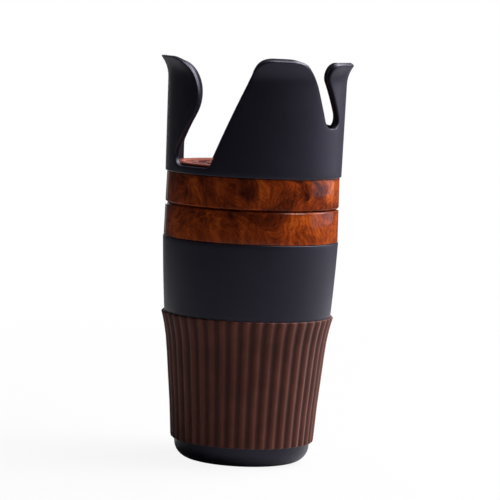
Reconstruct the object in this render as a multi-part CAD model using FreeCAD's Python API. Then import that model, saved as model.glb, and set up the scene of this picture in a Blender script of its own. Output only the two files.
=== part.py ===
import FreeCAD, Part
import math
import os
from BOPTools import SplitAPI

# Car cup holder: a lower cup that stands in the vehicle's own cup well, and an upper
# holder with four flared petals that swings sideways over it on an upright pivot.
# Millimetres, +Z up. The origin is the centre of the base's underside. The front is -Y.
# Angles of the petals are counted from the front, positive towards +X.

os.makedirs("parts", exist_ok=True)

V = FreeCAD.Vector
UP = V(0, 0, 1)

# Driving dimensions

# Radii: the lower cup's rim, and how far other faces stand in or out from it
STACK_RADIUS = 42.65
BASE_INSET = 9.7
WAIST_INSET = 2.15
MIDDLE_INSET = 0.9
NECK_INSET = 2.05
RING_BODY_INSET = 0.35
RING_SEAM_INSET = 0.55
RING_CROWN_INSET = 0.8
CROWN_FOOT_OUTSET = 0.05
CROWN_TAPER = 0.55
PETAL_ARC_OUTSET = 0.35

# Heights up the stack
BASE_Z = 0.0
SLEEVE_BOTTOM_Z = 9.9
SLEEVE_HEIGHT = 61.8
BODY_HEIGHT = 36.6
LOWER_RING_HEIGHT = 15.8
UPPER_RING_HEIGHT = 15.1
RING_FOOT_GAP = 0.1
SEAM_GAP = 0.4
CROWN_HEIGHT = 55.3

# Gaps between pieces, and how far cutting shapes reach past what they cut
RUNNING_GAP = 0.05
RING_FIT = 0.1
PLATE_FIT = 0.1
RIB_FIT = 0.2
BUSH_FIT = 0.02
THREAD_CLEARANCE = 0.05
BOSS_ROOM = 0.3
CUT_MARGIN = 1.0
JOIN_SINK = 0.2

# Lower cup
BASE_CORNER_RADIUS = 8.0
CUP_WALL = 2.4
CUP_FLOOR = 2.6
HEEL_STEP = 2.4
SHOULDER_DROP = 4.0
BODY_EDGE_ROUND = 0.4
NECK_WALL = 2.4

# Grip sleeve: crests as a share of its height and an inset, and the wall under a crest
SLEEVE_CREST = (
    (0.0, 8.3),
    (0.0146, 7.65),
    (0.272, 6.55),
    (0.466, 5.4),
    (0.660, 4.3),
    (0.798, 3.35),
    (0.887, 2.35),
    (0.982, 0.8),
    (1.0, 1.1),
)
SLEEVE_THICKNESS = 1.75
SLEEVE_FIT = 0.05
RIB_COUNT = 44
RIB_DEPTH = 0.85

# Trim rings
RING_BEVEL = 0.7
RING_EDGE_ROUND = 0.3
RING_LIP_THICKNESS = 0.55
RING_LIP_REACH = 1.3

# Self-tapping screws and the bosses they bite in
SCREW_ANGLES = (60.0, 180.0, 300.0)
SCREW_SHANK_RADIUS = 1.25
SCREW_HEAD_FLARE = 1.45
SCREW_LENGTH = 9.0
SCREW_TIP = 1.2
SCREW_POINT_RADIUS = 0.4
SCREW_HOLE_CLEARANCE = 0.3
PILOT_SPARE = 0.3
DRIVE_WIDTH = 0.7
DRIVE_DEPTH = 1.1
DRIVE_OVERLENGTH = 0.6
BOSS_WALL = 2.5
BOSS_SINK = 0.15
BOSS_FOOT = 0.4

# Rim plate on the lower cup
RIM_THICKNESS = 2.9
RIM_INSIDE = 2.0
RIM_EAR_WALL = 0.25
LAND_RADIUS = 1.5
LAND_FOOT = 0.5
LAND_ANGLES = (120.0, 240.0)

# Pivot, on the +X side
SHOULDER_RADIUS = 3.0
BORE_CLEARANCE = 0.05
BUSH_WALL = 1.0
BUSH_FLANGE = 1.15
LUG_WALL = 1.55
LUG_DEPTH = 11.0
LUG_GAP = 0.6
FRICTION_WASHER = 0.5
FLAT_WASHER = 0.6
WASHER_BAND = 2.0
SPRING_WIRE = 0.4
SPRING_RISE = 0.6
SPRING_INNER_GAP = 0.1
SPRING_OUTER_GAP = 0.3
PIVOT_HEAD_BAND = 1.6
PIVOT_HEAD = 2.4
PIVOT_HEAD_ROUND = 0.8
SOCKET_RADIUS = 2.0
SOCKET_DEPTH = 1.5
PIVOT_THREAD_RADIUS = 1.95
INSERT_RADIUS = 3.0
INSERT_HEIGHT = 8.0
INSERT_GROOVE_DEPTH = 0.35
INSERT_GROOVE_WIDTH = 0.9
INSERT_GROOVE_SHARES = (0.3, 0.625)
INSERT_BOSS_WALL = 2.4

# Swing base under the upper holder
SWING_BASE_THICKNESS = 2.8
SWING_BASE_CHAMFER = 0.3
LOCATING_RIB = 1.6
LOCATING_RIB_HEIGHT = 2.0

# Crown
CROWN_WALL = 2.4
CROWN_FLOOR_TOP = 1.8
CROWN_FLOOR = 2.4
CROWN_FOOT_ROUND = 0.5
FLOOR_CORNER = 1.2
FLARE_RISE = 10.6
FLARE_TURN = 41.8
LIP_RISE = 1.25
LIP_RISE_LEFT_SHARE = 0.15
LIP_TRIM = 1.5
LIP_OVERTURN = 6.0

# Petal outlines, unrolled on the wall: angles, heights above the crown's foot, and how far
# from its corner each round starts. The rear half repeats the front one, with lower tops.
APEX_ROUND = 4.0
LEFT_PETAL_ANGLE = -90.0
LEFT_PETAL_HALF = 49.8
LEFT_PETAL_ROUND = 18.3
LEFT_PETAL_FALL = 0.3
LEFT_PETAL_REAR_HALF = 49.2
LEFT_PETAL_REAR_ROUND = 14.2
LEFT_PETAL_REAR_FALL = 4.4
LEFT_EDGE_RUN = 0.3
LEFT_WAIST_ROUND = 5.6
DEEP_NOTCH_Z = 3.5
DEEP_NOTCH_LEFT = -69.6
DEEP_NOTCH_LEFT_ROUND = 10.0
DEEP_NOTCH_RIGHT = -30.0
DEEP_NOTCH_RIGHT_ROUND = 1.9
FRONT_PETAL_DROP = 0.3
BACK_PETAL_DROP = 1.7
FRONT_PETAL_LEFT = 0.4
FRONT_PETAL_LEFT_ROUND = 7.0
FRONT_PETAL_RIGHT = 36.6
FRONT_PETAL_RIGHT_ROUND = 12.8
SHALLOW_NOTCH_Z = 24.1
SHALLOW_NOTCH_LEFT = 52.6
SHALLOW_NOTCH_LEFT_ROUND = 3.6
SHALLOW_NOTCH_RIGHT = 72.0
SHALLOW_NOTCH_RIGHT_ROUND = 7.4
RIGHT_PETAL_ANGLE = 90.0
RIGHT_PETAL_DROP = 1.1
RIGHT_PETAL_REAR_FALL = 1.5
RIGHT_PETAL_HALF = 43.7
RIGHT_PETAL_ROUND = 9.0
LEDGE_Z = 13.2
LEDGE_ANGLE = 238.6
LEDGE_ROUND = 1.4
LEDGE_FOOT_ROUND = 1.5

# The surface that cuts the petals: its margins, and the spacing of the points it runs through
RIBBON_INSIDE = 12.0
RIBBON_OUTSIDE = 8.0
RIBBON_ARC_STEP = 2.4
RIBBON_LINE_STEP = 7.0

# Mats
MAT_HEIGHT = 3.0
MAT_CLEARANCE = 1.4
MAT_RIM = 5.2
MAT_RECESS = 1.2
MAT_EDGE = 0.6
MAT_SLOPE = 0.4
MAT_RIDGE_DROP = 0.25
MAT_RIDGE_SHARE = 0.47
MAT_CENTRE_SHARE = 1.2
MAT_RIDGE_COUNT = 4
LOWER_MAT_HEIGHT = 2.4
LOWER_MAT_RIDGE_COUNT = 3

# Worked-out heights
sleeve_top_z = SLEEVE_BOTTOM_Z + SLEEVE_HEIGHT
body_top_z = sleeve_top_z + BODY_HEIGHT
lower_ring_z = body_top_z + RING_FOOT_GAP
seam_low_z = lower_ring_z + LOWER_RING_HEIGHT
seam_high_z = seam_low_z + SEAM_GAP
upper_ring_top_z = seam_high_z + UPPER_RING_HEIGHT
crown_z = upper_ring_top_z + RING_FOOT_GAP
rim_top_z = seam_low_z - RING_LIP_THICKNESS - RUNNING_GAP
neck_top_z = rim_top_z - RIM_THICKNESS
swing_low_z = seam_high_z
swing_top_z = swing_low_z + SWING_BASE_THICKNESS
floor_top_z = crown_z + CROWN_FLOOR_TOP
floor_low_z = floor_top_z - CROWN_FLOOR
lug_low_z = rim_top_z - LUG_DEPTH
flare_start = CROWN_HEIGHT - FLARE_RISE
flare_z = crown_z + flare_start

# Worked-out radii
base_radius = STACK_RADIUS - BASE_INSET
waist_radius = STACK_RADIUS - WAIST_INSET
middle_radius = STACK_RADIUS - MIDDLE_INSET
neck_radius = STACK_RADIUS - NECK_INSET
neck_inner = neck_radius - NECK_WALL
ring_bore = neck_radius + RING_FIT
ring_lip_radius = ring_bore - RING_LIP_REACH
crown_foot_radius = STACK_RADIUS + CROWN_FOOT_OUTSET
crown_radius = crown_foot_radius + CROWN_TAPER
petal_arc = STACK_RADIUS + PETAL_ARC_OUTSET
flare_radius = FLARE_RISE / math.sin(math.radians(FLARE_TURN))
lip_radius = crown_radius + flare_radius * (1 - math.cos(math.radians(FLARE_TURN)))
screw_hole_radius = SCREW_SHANK_RADIUS + SCREW_HOLE_CLEARANCE
screw_head_radius = SCREW_SHANK_RADIUS + SCREW_HEAD_FLARE
boss_radius = SCREW_SHANK_RADIUS + BOSS_WALL
screw_circle = neck_inner + BOSS_SINK - boss_radius
land_circle = ring_lip_radius - RING_FIT - LAND_RADIUS
bore_radius = SHOULDER_RADIUS + BORE_CLEARANCE
bush_radius = bore_radius + BUSH_WALL
bush_flange_radius = bush_radius + BUSH_FLANGE
lug_radius = bush_radius + LUG_WALL
washer_radius = SHOULDER_RADIUS + WASHER_BAND
pivot_head_radius = SHOULDER_RADIUS + PIVOT_HEAD_BAND
pivot_boss_radius = INSERT_RADIUS + INSERT_BOSS_WALL
pivot_offset = neck_inner - LUG_GAP - lug_radius


def at_angle(radius, degrees, z=0.0):
    """Point on a circle about the stack's axis, with the angle counted from +X."""
    a = math.radians(degrees)
    return V(radius * math.cos(a), radius * math.sin(a), z)


def around(radius, front_degrees, z):
    """Point at an angle counted from the front (-Y), positive towards +X."""
    a = math.radians(front_degrees)
    return V(radius * math.sin(a), -radius * math.cos(a), z)


def turned(points):
    """Solid of revolution about the stack's axis from closed (radius, height) corners."""
    ring = [V(r, 0, z) for r, z in points]
    face = Part.Face(Part.makePolygon(ring + ring[:1]))
    return face.revolve(V(0, 0, 0), UP, 360)


def turned_edges(edges):
    """Solid of revolution from edges that close an outline in the XZ plane."""
    face = Part.Face(Part.Wire(Part.__sortEdges__(edges)))
    return face.revolve(V(0, 0, 0), UP, 360)


def disc(radius, low, high, centre=V(0, 0, 0)):
    """Upright cylinder between two heights."""
    return Part.makeCylinder(radius, high - low, V(centre.x, centre.y, low), UP)


def washer(inner, outer, low, high, centre=V(0, 0, 0)):
    """Flat ring between two heights."""
    return disc(outer, low, high, centre).cut(disc(inner, low - 1, high + 1, centre))


def edges_at(shape, z, radius, centre=V(0, 0, 0), slack=0.02):
    """Round edges of a shape that lie at one height with one radius about a centre."""
    found = []
    for edge in shape.Edges:
        curve = edge.Curve
        if not isinstance(curve, Part.Circle):
            continue
        near = math.hypot(curve.Center.x - centre.x, curve.Center.y - centre.y)
        if abs(curve.Center.z - z) < slack and abs(curve.Radius - radius) < slack and near < slack:
            found.append(edge)
    return found


def line(a, b):
    """Straight edge in the XZ plane between two (radius, height) points."""
    return Part.LineSegment(V(a[0], 0, a[1]), V(b[0], 0, b[1])).toShape()


def arc(a, middle, b):
    """Arc in the XZ plane through three (radius, height) points."""
    points = [V(p[0], 0, p[1]) for p in (a, middle, b)]
    return Part.Arc(*points).toShape()


def single(shape):
    """The one solid of a shape, with needless seams removed."""
    clean = shape.removeSplitter()
    if len(clean.Solids) != 1:
        raise ValueError("expected one solid, found %d" % len(clean.Solids))
    return clean.Solids[0]


def sleeve_bore_points():
    """(radius, height) corners of the face that the sleeve grips the cup on."""
    under = STACK_RADIUS - SLEEVE_THICKNESS
    points = [(under - SLEEVE_CREST[1][1], SLEEVE_BOTTOM_Z)]
    for share, inset in SLEEVE_CREST[2:-2]:
        points.append((under - inset, SLEEVE_BOTTOM_Z + share * SLEEVE_HEIGHT))
    points.append((waist_radius + SLEEVE_FIT, sleeve_top_z))
    return points


def pilot_end(face_z, way):
    """Height where the pilot hole of a screw with its head at a face ends."""
    return face_z - way * (RUNNING_GAP + SCREW_HEAD_FLARE + SCREW_LENGTH + PILOT_SPARE)


def make_lower_cup():
    """One moulded cup: rounded base, tapered wall under the sleeve, body and neck."""
    grip = [(r - SLEEVE_FIT, z) for r, z in sleeve_bore_points()]
    corner = BASE_CORNER_RADIUS
    foot = (base_radius - corner, BASE_Z)
    mid_turn = corner * (1 - math.sqrt(0.5))
    corner_mid = (base_radius - mid_turn, BASE_Z + mid_turn)
    side = (base_radius, BASE_Z + corner)
    body_top = (STACK_RADIUS, body_top_z)
    body_mid = (middle_radius, (sleeve_top_z + body_top_z) / 2)
    neck_foot = (neck_radius, body_top_z)
    neck_top = (neck_radius, neck_top_z)
    bore_top = (neck_inner, neck_top_z)
    bore_foot = (neck_inner, body_top_z)
    belly = (STACK_RADIUS - CUP_WALL, body_top_z - SHOULDER_DROP)
    waist = (waist_radius - CUP_WALL, sleeve_top_z)
    ankle = (grip[0][0] - CUP_WALL, grip[0][1])
    heel = (ankle[0] - HEEL_STEP, BASE_Z + CUP_FLOOR)
    edges = [line((0, BASE_Z), foot), arc(foot, corner_mid, side)]
    outline = [side] + grip
    edges += [line(a, b) for a, b in zip(outline, outline[1:])]
    edges.append(arc(grip[-1], body_mid, body_top))
    inside = [body_top, neck_foot, neck_top, bore_top, bore_foot, belly, waist]
    inside += [(r - CUP_WALL, z) for r, z in reversed(grip[1:-1])]
    inside += [ankle, heel, (0, BASE_Z + CUP_FLOOR), (0, BASE_Z)]
    edges += [line(a, b) for a, b in zip(inside, inside[1:])]
    cup = turned_edges(edges)
    cup = cup.makeFillet(BODY_EDGE_ROUND, edges_at(cup, body_top_z, STACK_RADIUS))
    for angle in SCREW_ANGLES:
        centre = at_angle(screw_circle, angle)
        cup = cup.fuse(disc(boss_radius, body_top_z + BOSS_FOOT, neck_top_z, centre))
    for angle in SCREW_ANGLES:
        centre = at_angle(screw_circle, angle)
        low = pilot_end(rim_top_z, 1)
        cup = cup.cut(disc(SCREW_SHANK_RADIUS, low, neck_top_z + CUT_MARGIN, centre))
    return single(cup)


def rib_wire(crest, z):
    """Closed wavy outline with one crest for each rib."""
    points = []
    steps = 4
    for i in range(RIB_COUNT * steps):
        wave = 0.5 + 0.5 * math.cos(2 * math.pi * i / steps)
        angle = 360.0 * i / (RIB_COUNT * steps)
        points.append(at_angle(crest - RIB_DEPTH * (1 - wave), angle, z))
    curve = Part.BSplineCurve()
    curve.interpolate(Points=points, PeriodicFlag=True)
    return Part.Wire(curve.toShape())


def make_grip_sleeve():
    """Ribbed rubber sleeve, flared into a lip at its top."""
    wires = []
    for share, inset in SLEEVE_CREST:
        wires.append(rib_wire(STACK_RADIUS - inset, SLEEVE_BOTTOM_Z + share * SLEEVE_HEIGHT))
    outer = Part.makeLoft(wires, True, True)
    bore = sleeve_bore_points()
    low = SLEEVE_BOTTOM_Z - CUT_MARGIN
    high = sleeve_top_z + CUT_MARGIN
    cutter = [(0, low), (bore[0][0], low)] + bore + [(bore[-1][0], high), (0, high)]
    return single(outer.cut(turned(cutter)))


def make_mat(radius, low, height, count):
    """Round mat with a raised rim and concentric ridges in its recess."""
    top = low + height
    floor = top - MAT_RECESS
    points = [(0, low), (radius - MAT_EDGE, low), (radius, low + MAT_EDGE)]
    points += [(radius, top - MAT_EDGE), (radius - MAT_EDGE, top), (radius - MAT_RIM, top)]
    edge = radius - MAT_RIM - MAT_SLOPE
    points.append((edge, floor))
    pitch = edge / (count + MAT_CENTRE_SHARE)
    ridge = MAT_RIDGE_SHARE * pitch
    ridge_top = top - MAT_RIDGE_DROP
    for i in range(1, count + 1):
        outer = edge - i * pitch + ridge
        points += [(outer, floor), (outer - MAT_SLOPE, ridge_top)]
        points += [(outer - ridge + MAT_SLOPE, ridge_top), (outer - ridge, floor)]
    points.append((0, floor))
    return single(turned(points))


def make_ring(low, high, low_radius, high_radius, bevel_low, bevel_high, lip):
    """Glossy trim ring: bevelled at the seam, lightly rounded at its other edge."""
    points = [
        (ring_bore, low),
        (low_radius - bevel_low, low),
        (low_radius, low + bevel_low),
        (high_radius, high - bevel_high),
        (high_radius - bevel_high, high),
    ]
    if lip:
        points += [(ring_lip_radius, high), (ring_lip_radius, high - RING_LIP_THICKNESS)]
        points.append((ring_bore, high - RING_LIP_THICKNESS))
    else:
        points.append((ring_bore, high))
    return single(turned(points))


def make_lower_rim():
    """Plate on the neck, with three screw ears and the lug that carries the pivot."""
    rim = washer(neck_inner - RIM_INSIDE, neck_radius - PLATE_FIT, neck_top_z, rim_top_z)
    for angle in SCREW_ANGLES:
        centre = at_angle(screw_circle, angle)
        rim = rim.fuse(disc(boss_radius + RIM_EAR_WALL, neck_top_z, rim_top_z, centre))
    pivot = V(pivot_offset, 0, 0)
    rim = rim.fuse(disc(lug_radius, lug_low_z, rim_top_z, pivot))
    land_top = seam_high_z - RUNNING_GAP
    for angle in LAND_ANGLES:
        centre = at_angle(land_circle, angle)
        rim = rim.fuse(disc(LAND_RADIUS, rim_top_z - LAND_FOOT, land_top, centre))
    rim = rim.cut(disc(bush_radius, lug_low_z - CUT_MARGIN, rim_top_z + CUT_MARGIN, pivot))
    for angle in SCREW_ANGLES:
        centre = at_angle(screw_circle, angle)
        low = neck_top_z - CUT_MARGIN
        rim = rim.cut(disc(screw_hole_radius, low, rim_top_z + CUT_MARGIN, centre))
        rim = rim.cut(countersink(centre, rim_top_z, 1))
    return single(rim)


def countersink(centre, face_z, way):
    """Cone that a screw head sinks into; way is 1 for a head on top, -1 for one below."""
    axis = V(0, 0, way)
    tip = V(centre.x, centre.y, face_z - way * SCREW_HEAD_FLARE)
    cone = Part.makeCone(SCREW_SHANK_RADIUS, screw_head_radius, SCREW_HEAD_FLARE, tip, axis)
    face = V(centre.x, centre.y, face_z)
    return cone.fuse(Part.makeCylinder(screw_head_radius, CUT_MARGIN, face, axis))


def make_screw(centre, face_z, way):
    """Countersunk self-tapping screw with a cross recess."""
    axis = V(0, 0, way)
    head_z = face_z - way * RUNNING_GAP
    neck = V(centre.x, centre.y, head_z - way * SCREW_HEAD_FLARE)
    shank = SCREW_SHANK_RADIUS - THREAD_CLEARANCE
    head = Part.makeCone(shank, screw_head_radius - RUNNING_GAP, SCREW_HEAD_FLARE, neck, axis)
    run = SCREW_LENGTH - SCREW_TIP
    body = Part.makeCylinder(shank, run, neck, V(0, 0, -way))
    end = V(centre.x, centre.y, neck.z - way * run)
    tip = Part.makeCone(shank, SCREW_POINT_RADIUS, SCREW_TIP, end, V(0, 0, -way))
    screw = head.fuse(body).fuse(tip)
    reach = 2 * shank + DRIVE_OVERLENGTH
    low = head_z - DRIVE_DEPTH if way > 0 else head_z - CUT_MARGIN
    for wide, deep in ((reach, DRIVE_WIDTH), (DRIVE_WIDTH, reach)):
        corner = V(centre.x - wide / 2, centre.y - deep / 2, low)
        screw = screw.cut(Part.makeBox(wide, deep, DRIVE_DEPTH + CUT_MARGIN, corner))
    return single(screw)


def make_pivot_set():
    """The pivot's pieces: bush, washers, spring washer, shoulder screw and insert."""
    pivot = V(pivot_offset, 0, 0)
    washer_high = swing_low_z - RUNNING_GAP
    flange_high = washer_high - FRICTION_WASHER
    bush = washer(bore_radius, bush_radius - BUSH_FIT, lug_low_z, flange_high, pivot)
    bush = bush.fuse(washer(bore_radius, bush_flange_radius, rim_top_z, flange_high, pivot))
    friction = washer(bore_radius, bush_flange_radius, flange_high, washer_high, pivot)
    flat_high = lug_low_z - RUNNING_GAP
    flat_low = flat_high - FLAT_WASHER
    flat = washer(bore_radius, washer_radius, flat_low, flat_high, pivot)
    spring_low = flat_low - SPRING_RISE - SPRING_WIRE
    spring_inner = pivot_offset + bore_radius + SPRING_INNER_GAP
    spring_outer = pivot_offset + washer_radius - SPRING_OUTER_GAP
    spring = [
        V(spring_inner, 0, flat_low - SPRING_WIRE),
        V(spring_inner, 0, flat_low),
        V(spring_outer, 0, spring_low + SPRING_WIRE),
        V(spring_outer, 0, spring_low),
    ]
    spring_face = Part.Face(Part.makePolygon(spring + spring[:1]))
    cone_washer = spring_face.revolve(pivot, UP, 360)
    head_low = spring_low - PIVOT_HEAD
    screw = disc(SHOULDER_RADIUS, spring_low, swing_top_z, pivot)
    screw = screw.fuse(disc(pivot_head_radius, head_low, spring_low, pivot))
    head_edge = edges_at(screw, head_low, pivot_head_radius, pivot)
    screw = screw.makeFillet(PIVOT_HEAD_ROUND, head_edge)
    thread_top = swing_top_z + INSERT_HEIGHT
    screw = screw.fuse(disc(PIVOT_THREAD_RADIUS, swing_top_z, thread_top, pivot))
    socket = hexagon(SOCKET_RADIUS, head_low - CUT_MARGIN, head_low + SOCKET_DEPTH, pivot)
    screw = screw.cut(socket)
    thread_bore = PIVOT_THREAD_RADIUS + THREAD_CLEARANCE
    insert = washer(thread_bore, INSERT_RADIUS, swing_top_z, thread_top, pivot)
    for share in INSERT_GROOVE_SHARES:
        low = swing_top_z + share * INSERT_HEIGHT
        groove = washer(INSERT_RADIUS - INSERT_GROOVE_DEPTH, INSERT_RADIUS + CUT_MARGIN,
                        low, low + INSERT_GROOVE_WIDTH, pivot)
        insert = insert.cut(groove)
    return {
        "pivot_bush": single(bush),
        "friction_washer": single(friction),
        "flat_washer": single(flat),
        "spring_washer": single(cone_washer),
        "pivot_screw": single(screw),
        "pivot_insert": single(insert),
    }


def hexagon(size, low, high, centre):
    """Six-sided socket with a given corner radius."""
    ring = [centre + at_angle(size, 60 * i, low) for i in range(6)]
    face = Part.Face(Part.makePolygon(ring + ring[:1]))
    return face.extrude(V(0, 0, high - low))


def make_swing_base():
    """Plate that closes the upper holder from below and turns on the pivot."""
    outer = neck_radius - PLATE_FIT
    plate = disc(outer, swing_low_z, swing_top_z)
    rib_outer = neck_inner - RIB_FIT
    rib_top = swing_top_z + LOCATING_RIB_HEIGHT
    rib = washer(rib_outer - LOCATING_RIB, rib_outer, swing_top_z - JOIN_SINK, rib_top)
    plate = plate.fuse(rib)
    pivot = V(pivot_offset, 0, 0)
    clear_z = rib_top + CUT_MARGIN
    plate = plate.cut(disc(pivot_boss_radius + BOSS_ROOM, swing_top_z, clear_z, pivot))
    low = swing_low_z - CUT_MARGIN
    plate = plate.cut(disc(bore_radius, low, clear_z, pivot))
    for angle in SCREW_ANGLES:
        centre = at_angle(screw_circle, angle)
        plate = plate.cut(disc(boss_radius + BOSS_ROOM, swing_top_z, clear_z, centre))
        plate = plate.cut(disc(screw_hole_radius, low, clear_z, centre))
        plate = plate.cut(countersink(centre, swing_low_z, -1))
    plate = plate.makeChamfer(SWING_BASE_CHAMFER, edges_at(plate, swing_low_z, outer))
    return single(plate)


def make_crown_blank():
    """The crown before its petals are cut: neck, floor, wall and flared lip."""
    tip_z = crown_z + CROWN_HEIGHT + LIP_TRIM
    outer_turn = math.asin((tip_z - flare_z) / flare_radius)
    inner_turn = outer_turn + math.radians(LIP_OVERTURN)
    flare_centre = crown_radius + flare_radius

    def on_flare(radius, turn):
        return (flare_centre - radius * math.cos(turn), flare_z + radius * math.sin(turn))

    straight = on_flare(flare_radius, 0)
    half = on_flare(flare_radius, outer_turn / 2)
    tip = on_flare(flare_radius, outer_turn)
    inner_radius = flare_radius + CROWN_WALL
    in_tip = on_flare(inner_radius, inner_turn)
    in_half = on_flare(inner_radius, inner_turn / 2)
    in_straight = on_flare(inner_radius, 0)
    in_foot = (crown_foot_radius - CROWN_WALL, floor_top_z)
    edges = [
        line((crown_foot_radius, crown_z), straight),
        arc(straight, half, tip),
        line(tip, in_tip),
        arc(in_tip, in_half, in_straight),
        line(in_straight, in_foot),
        line(in_foot, (0, floor_top_z)),
        line((0, floor_top_z), (0, floor_low_z)),
        line((0, floor_low_z), (neck_inner, floor_low_z)),
        line((neck_inner, floor_low_z), (neck_inner, swing_top_z)),
        line((neck_inner, swing_top_z), (neck_radius, swing_top_z)),
        line((neck_radius, swing_top_z), (neck_radius, crown_z)),
        line((neck_radius, crown_z), (crown_foot_radius, crown_z)),
    ]
    blank = turned_edges(edges)
    blank = blank.makeFillet(CROWN_FOOT_ROUND, edges_at(blank, crown_z, crown_foot_radius))
    return blank.makeFillet(FLOOR_CORNER, edges_at(blank, floor_top_z, in_foot[0]))


def petal_corners():
    """Corners of the petal edge all the way round: (arc length, height, round)."""
    front_top = CROWN_HEIGHT - FRONT_PETAL_DROP
    back_top = CROWN_HEIGHT - BACK_PETAL_DROP
    left_top = CROWN_HEIGHT - LEFT_PETAL_FALL
    right_top = CROWN_HEIGHT - RIGHT_PETAL_DROP
    waist_z = left_top - LEFT_PETAL_ROUND - LEFT_EDGE_RUN - LEFT_WAIST_ROUND
    left_edge = LEFT_PETAL_ANGLE + LEFT_PETAL_HALF
    left_rear_edge = LEFT_PETAL_ANGLE + LEFT_PETAL_REAR_HALF
    right_edge = RIGHT_PETAL_ANGLE - RIGHT_PETAL_HALF
    shallow = [
        (SHALLOW_NOTCH_LEFT, SHALLOW_NOTCH_Z, SHALLOW_NOTCH_LEFT_ROUND),
        (SHALLOW_NOTCH_RIGHT, SHALLOW_NOTCH_Z, SHALLOW_NOTCH_RIGHT_ROUND),
    ]
    front = [
        (LEFT_PETAL_ANGLE, CROWN_HEIGHT, APEX_ROUND),
        (left_edge, left_top, LEFT_PETAL_ROUND),
        (left_edge, waist_z, LEFT_WAIST_ROUND),
        (DEEP_NOTCH_LEFT, DEEP_NOTCH_Z, DEEP_NOTCH_LEFT_ROUND),
        (DEEP_NOTCH_RIGHT, DEEP_NOTCH_Z, DEEP_NOTCH_RIGHT_ROUND),
        (FRONT_PETAL_LEFT, front_top, FRONT_PETAL_LEFT_ROUND),
        (FRONT_PETAL_RIGHT, front_top, FRONT_PETAL_RIGHT_ROUND),
    ]
    front += shallow
    front.append((right_edge, right_top, RIGHT_PETAL_ROUND))
    front.append((RIGHT_PETAL_ANGLE, right_top, APEX_ROUND))

    def behind(angle):
        return 180.0 - angle

    rear = [(behind(right_edge), right_top - RIGHT_PETAL_REAR_FALL, RIGHT_PETAL_ROUND)]
    rear += [(behind(a), h, r) for a, h, r in reversed(shallow)]
    rear += [
        (behind(FRONT_PETAL_RIGHT), back_top, FRONT_PETAL_RIGHT_ROUND),
        (behind(FRONT_PETAL_LEFT), back_top, FRONT_PETAL_LEFT_ROUND),
        (behind(DEEP_NOTCH_RIGHT), DEEP_NOTCH_Z, DEEP_NOTCH_RIGHT_ROUND),
        (LEDGE_ANGLE, DEEP_NOTCH_Z, LEDGE_FOOT_ROUND),
        (LEDGE_ANGLE, LEDGE_Z, LEDGE_ROUND),
        (behind(left_rear_edge), waist_z, LEFT_WAIST_ROUND),
        (behind(left_rear_edge), CROWN_HEIGHT - LEFT_PETAL_REAR_FALL, LEFT_PETAL_REAR_ROUND),
    ]
    return [(math.radians(a) * petal_arc, h, r) for a, h, r in front + rear]


def next_point(path, i):
    """The point after one of a closed path, a whole turn further on where it closes."""
    if i + 1 < len(path):
        return path[i + 1]
    return (path[0][0] + 2 * math.pi * petal_arc,) + tuple(path[0][1:])


def rounded_path(corners, spacing):
    """Points along a closed polygon with rounded corners, in (arc length, height)."""
    last = corners[-1]
    before = (last[0] - 2 * math.pi * petal_arc, last[1])
    path = []
    for i, here in enumerate(corners):
        path += corner_points(before, here, next_point(corners, i), spacing)
        before = here
    return path


def corner_points(before, here, after, spacing):
    """Points round one corner: the tangent points and the arc between them."""
    to_before = V(before[0] - here[0], before[1] - here[1], 0).normalize()
    to_after = V(after[0] - here[0], after[1] - here[1], 0).normalize()
    half_angle = to_before.getAngle(to_after) / 2
    corner = V(here[0], here[1], 0)
    tangent = here[2]
    radius = tangent * math.tan(half_angle)
    middle = (to_before + to_after).normalize()
    centre = corner + middle * (tangent / math.cos(half_angle))
    start = corner + to_before * tangent - centre
    sweep = math.pi - 2 * half_angle
    if to_before.cross(to_after).z > 0:
        sweep = -sweep
    first = math.atan2(start.y, start.x)
    steps = max(3, int(round(abs(sweep) * radius / spacing)))
    points = []
    for k in range(steps + 1):
        a = first + sweep * k / steps
        points.append((centre.x + radius * math.cos(a), centre.y + radius * math.sin(a)))
    return points


def spread(path, longest):
    """The same closed path with points added so that no step is longer than a length."""
    out = []
    for i, here in enumerate(path):
        after = next_point(path, i)
        run = math.hypot(after[0] - here[0], after[1] - here[1])
        parts = int(run // longest) + 1
        for k in range(parts):
            share = k / parts
            out.append((here[0] + share * (after[0] - here[0]),
                        here[1] + share * (after[1] - here[1])))
    return out


def lip_rise(arc_length, height):
    """Rise of the petal edge over the wall's thickness: most at the tops, least at the left."""
    share = (height - flare_start) / (CROWN_HEIGHT - BACK_PETAL_DROP - flare_start)
    share = max(0.0, min(1.0, share))
    leftness = max(0.0, -math.sin(arc_length / petal_arc))
    side = 1.0 - (1.0 - LIP_RISE_LEFT_SHARE) * leftness
    return LIP_RISE * side * share * share * (3 - 2 * share)


def petal_ribbon():
    """Surface that cuts the petals: radial everywhere, and rising inwards at the tops."""
    path = spread(rounded_path(petal_corners(), RIBBON_ARC_STEP), RIBBON_LINE_STEP)
    lengths = [0.0]
    for i, here in enumerate(path):
        after = next_point(path, i)
        lengths.append(lengths[-1] + math.hypot(after[0] - here[0], after[1] - here[1]))
    curves = []
    for outward in (-RIBBON_INSIDE, RIBBON_OUTSIDE):
        points = []
        for s, h in path:
            z = crown_z + h - lip_rise(s, h) * outward / CROWN_WALL
            points.append(around(lip_radius + outward, math.degrees(s / petal_arc), z))
        curve = Part.BSplineCurve()
        curve.interpolate(Points=points, PeriodicFlag=True, Parameters=lengths)
        curves.append(curve.toShape())
    return Part.makeRuledSurface(curves[0], curves[1])


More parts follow.
